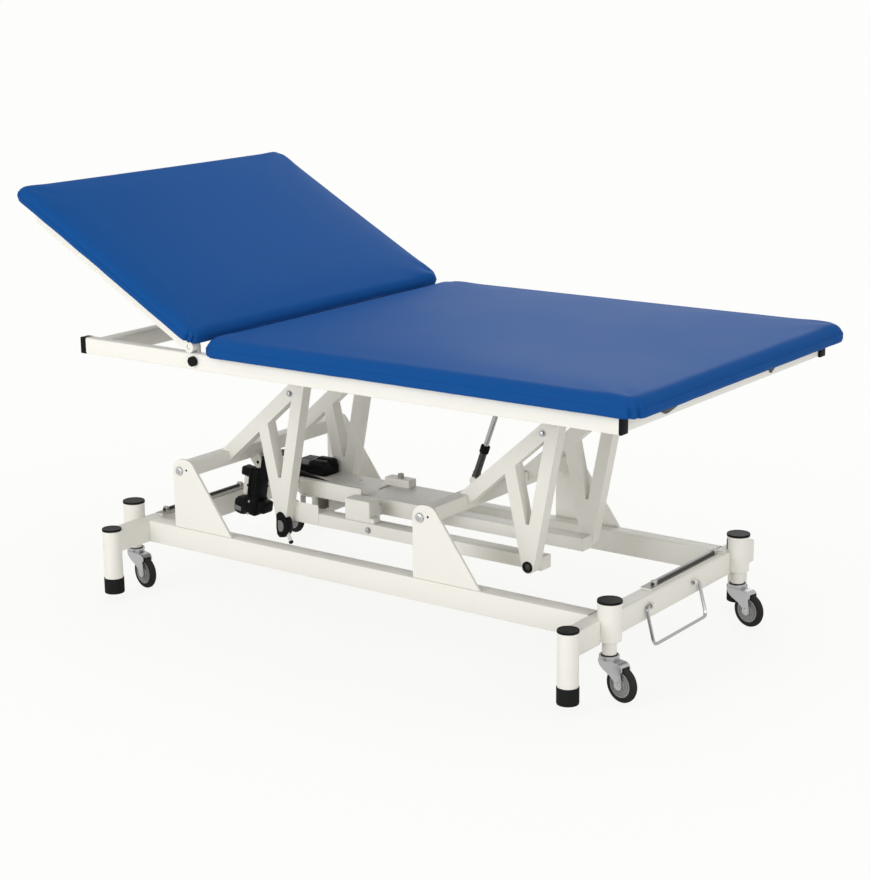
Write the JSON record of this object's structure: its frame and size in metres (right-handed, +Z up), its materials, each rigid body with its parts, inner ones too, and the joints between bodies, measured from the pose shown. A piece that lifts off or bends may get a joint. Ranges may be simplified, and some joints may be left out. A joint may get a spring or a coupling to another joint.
{
  "type": "electric examination couch",
  "caption": "Wide examination couch with a padded seat and tilting backrest on a deck raised by electric parallel levers, over a base frame on castors that draw up onto rubber feet.",
  "frame": {"origin": "middle of the bounding box at the floor under the lowered castors", "axes": "+X from the head end to the foot end, +Y to the side away from the picture's camera, +Z up"},
  "size_m": [1.9472, 1.0994, 1.1544],
  "materials": {
    "white_paint": "satin",
    "black_rubber": "matte",
    "dark_steel": "satin",
    "zinc": "satin",
    "tyre_grey": "matte",
    "chrome": "polished",
    "black_plastic": "satin",
    "blue_vinyl": "satin"
  },
  "bodies": {
    "base": {"base_side_rail_near": "white_paint", "base_side_rail_far": "white_paint", "base_end_frame_head": "white_paint", "base_end_frame_foot": "white_paint", "rubber_foot_near_head": "black_rubber", "rubber_foot_near_foot": "black_rubber", "rubber_foot_far_head": "black_rubber", "rubber_foot_far_foot": "black_rubber", "pivot_plate_near_head": "white_paint", "pivot_plate_near_foot": "white_paint", "pivot_plate_far_head": "white_paint", "pivot_plate_far_foot": "white_paint", "castor_post_near_head": "white_paint", "castor_post_near_foot": "white_paint", "castor_post_far_head": "white_paint", "castor_post_far_foot": "white_paint"},
    "lift_head": {"torsion_tube_head": "white_paint", "lever_near_head": "white_paint", "lever_far_head": "white_paint"},
    "lift_foot": {"torsion_tube_foot": "white_paint", "lever_near_foot": "white_paint", "lever_far_foot": "white_paint"},
    "tie": {"tie_rail_near": "white_paint", "tie_rail_far": "white_paint", "tie_head_cross": "white_paint", "anchor_box": "white_paint", "cover_tray": "white_paint", "control_box": "black_plastic"},
    "deck": {"deck_side_rail_near": "white_paint", "deck_side_rail_far": "white_paint", "deck_foot_rail": "white_paint", "deck_head_rail": "white_paint", "deck_cross_head": "white_paint", "deck_cross_foot": "white_paint", "deck_cross_strut": "white_paint", "seat_cushion": "blue_vinyl"},
    "actuator_body": {"actuator_housing": "black_plastic", "actuator_motor": "black_plastic"},
    "actuator_piston": {"actuator_rod": "zinc"},
    "strut_body": {"strut_cylinder": "black_plastic"},
    "strut_piston": {"strut_rod": "chrome"},
    "backrest": {"backrest_frame": "white_paint", "backrest_cushion": "blue_vinyl"},
    "knob_near": {"hinge_knob_near": "black_plastic"},
    "knob_far": {"hinge_knob_far": "black_plastic"},
    "bail": {"wire_bail": "chrome"},
    "shaft_head": {"castor_shaft_head": "dark_steel"},
    "shaft_foot": {"castor_shaft_foot": "dark_steel"},
    "castor_stem_near_head": {"castor_plunger_near_head": "white_paint"},
    "castor_swivel_near_head": {"castor_fork_near_head": "zinc"},
    "castor_wheel_body_near_head": {"castor_wheel_near_head": "tyre_grey"},
    "castor_stem_near_foot": {"castor_plunger_near_foot": "white_paint"},
    "castor_swivel_near_foot": {"castor_fork_near_foot": "zinc"},
    "castor_wheel_body_near_foot": {"castor_wheel_near_foot": "tyre_grey"},
    "castor_stem_far_head": {"castor_plunger_far_head": "white_paint"},
    "castor_swivel_far_head": {"castor_fork_far_head": "zinc"},
    "castor_wheel_body_far_head": {"castor_wheel_far_head": "tyre_grey"},
    "castor_stem_far_foot": {"castor_plunger_far_foot": "white_paint"},
    "castor_swivel_far_foot": {"castor_fork_far_foot": "zinc"},
    "castor_wheel_body_far_foot": {"castor_wheel_far_foot": "tyre_grey"}
  },
  "joints": [
    {"name": "lift_head_pivot", "type": "hinge", "parent": "base", "child": "lift_head", "pos_m": [-0.58814, 0, 0.364], "axis": [0, -1, 0], "range_deg": [-26, 24]},
    {"name": "lift_foot_pivot", "type": "hinge", "parent": "base", "child": "lift_foot", "pos_m": [0.22826, 0, 0.364], "axis": [0, -1, 0], "range_deg": [-26, 24]},
    {"name": "deck_pivot", "type": "hinge", "parent": "lift_head", "child": "deck", "pos_m": [-0.30614, 0, 0.609], "axis": [0, -1, 0], "range_deg": [-24, 26]},
    {"name": "tie_pivot", "type": "hinge", "parent": "lift_head", "child": "tie", "pos_m": [-0.38314, 0, 0.222], "axis": [0, -1, 0], "range_deg": [-24, 26]},
    {"name": "actuator_pivot", "type": "hinge", "parent": "lift_head", "child": "actuator_body", "pos_m": [-0.56214, -0.03, 0.328], "axis": [0, -1, 0], "range_deg": [-10.37, 11.23]},
    {"name": "actuator_stroke", "type": "slide", "parent": "actuator_body", "child": "actuator_piston", "axis": [0.9857, 0, -0.1683], "range_m": [-0.03381, 0.03121]},
    {"name": "strut_pivot", "type": "hinge", "parent": "lift_foot", "child": "strut_body", "pos_m": [0.21586, -0.08, 0.4], "axis": [0, -1, 0], "range_deg": [-2.64, 2.86]},
    {"name": "strut_stroke", "type": "slide", "parent": "strut_body", "child": "strut_piston", "axis": [0.3445, 0, 0.9388], "range_m": [-0.09076, 0.08378]},
    {"name": "backrest_hinge", "type": "hinge", "parent": "deck", "child": "backrest", "pos_m": [-0.36714, 0, 0.7651], "axis": [0, 1, 0], "range_deg": [-29, 41]},
    {"name": "knob_turn_near", "type": "hinge", "parent": "deck", "child": "knob_near", "pos_m": [-0.35014, -0.5206, 0.7306], "axis": [0, -1, 0], "range_deg": [0, 270]},
    {"name": "knob_turn_far", "type": "hinge", "parent": "deck", "child": "knob_far", "pos_m": [-0.35014, 0.5206, 0.7306], "axis": [0, 1, 0], "range_deg": [0, 270]},
    {"name": "castor_lift_near_head", "type": "slide", "parent": "base", "child": "castor_stem_near_head", "axis": [0, 0, 1], "range_m": [0, 0.034]},
    {"name": "castor_turn_near_head", "type": "hinge", "parent": "castor_stem_near_head", "child": "castor_swivel_near_head", "pos_m": [-0.78114, -0.328, 0.11093], "axis": [0, 0, 1], "continuous": true},
    {"name": "castor_roll_near_head", "type": "hinge", "parent": "castor_swivel_near_head", "child": "castor_wheel_body_near_head", "pos_m": [-0.74006, -0.33673, 0.04593], "axis": [0.2079, 0.9781, 0], "continuous": true},
    {"name": "castor_lift_near_foot", "type": "slide", "parent": "base", "child": "castor_stem_near_foot", "axis": [0, 0, 1], "range_m": [0, 0.034]},
    {"name": "castor_turn_near_foot", "type": "hinge", "parent": "castor_stem_near_foot", "child": "castor_swivel_near_foot", "pos_m": [0.77646, -0.328, 0.11093], "axis": [0, 0, 1], "continuous": true},
    {"name": "castor_roll_near_foot", "type": "hinge", "parent": "castor_swivel_near_foot", "child": "castor_wheel_body_near_foot", "pos_m": [0.81754, -0.33673, 0.04593], "axis": [0.2079, 0.9781, 0], "continuous": true},
    {"name": "castor_lift_far_head", "type": "slide", "parent": "base", "child": "castor_stem_far_head", "axis": [0, 0, 1], "range_m": [0, 0.034]},
    {"name": "castor_turn_far_head", "type": "hinge", "parent": "castor_stem_far_head", "child": "castor_swivel_far_head", "pos_m": [-0.78114, 0.328, 0.11093], "axis": [0, 0, 1], "continuous": true},
    {"name": "castor_roll_far_head", "type": "hinge", "parent": "castor_swivel_far_head", "child": "castor_wheel_body_far_head", "pos_m": [-0.74006, 0.31927, 0.04593], "axis": [0.2079, 0.9781, 0], "continuous": true},
    {"name": "castor_lift_far_foot", "type": "slide", "parent": "base", "child": "castor_stem_far_foot", "axis": [0, 0, 1], "range_m": [0, 0.034]},
    {"name": "castor_turn_far_foot", "type": "hinge", "parent": "castor_stem_far_foot", "child": "castor_swivel_far_foot", "pos_m": [0.77646, 0.328, 0.11093], "axis": [0, 0, 1], "continuous": true},
    {"name": "castor_roll_far_foot", "type": "hinge", "parent": "castor_swivel_far_foot", "child": "castor_wheel_body_far_foot", "pos_m": [0.81754, 0.31927, 0.04593], "axis": [0.2079, 0.9781, 0], "continuous": true},
    {"name": "bail_swing", "type": "hinge", "parent": "base", "child": "bail", "pos_m": [0.77386, -0.016, 0.1755], "axis": [0, -1, 0], "range_deg": [0, 39.94]},
    {"name": "castor_shaft_turn_head", "type": "hinge", "parent": "base", "child": "shaft_head", "pos_m": [-0.73614, -0.088, 0.21], "axis": [0, -1, 0], "range_deg": [0, 39.94]},
    {"name": "castor_shaft_turn_foot", "type": "hinge", "parent": "base", "child": "shaft_foot", "pos_m": [0.74536, 0.095, 0.21], "axis": [0, -1, 0], "range_deg": [0, 39.94]}
  ],
  "couplings": [
    {"joint": "lift_foot_pivot", "follows": "lift_head_pivot", "ratio": 1},
    {"joint": "deck_pivot", "follows": "lift_head_pivot", "ratio": -1},
    {"joint": "tie_pivot", "follows": "lift_head_pivot", "ratio": -1},
    {"joint": "actuator_pivot", "follows": "lift_head_pivot", "ratio": -0.432},
    {"joint": "actuator_stroke", "follows": "lift_head_pivot", "m_per_rad": 0.0745},
    {"joint": "strut_pivot", "follows": "lift_head_pivot", "ratio": -0.11},
    {"joint": "strut_stroke", "follows": "lift_head_pivot", "m_per_rad": 0.2},
    {"joint": "castor_lift_near_foot", "follows": "castor_lift_near_head", "ratio": 1},
    {"joint": "castor_lift_far_head", "follows": "castor_lift_near_head", "ratio": 1},
    {"joint": "castor_lift_far_foot", "follows": "castor_lift_near_head", "ratio": 1},
    {"joint": "bail_swing", "follows": "castor_lift_near_head", "rad_per_m": 20.5},
    {"joint": "castor_shaft_turn_head", "follows": "castor_lift_near_head", "rad_per_m": 20.5},
    {"joint": "castor_shaft_turn_foot", "follows": "castor_lift_near_head", "rad_per_m": 20.5}
  ]
}
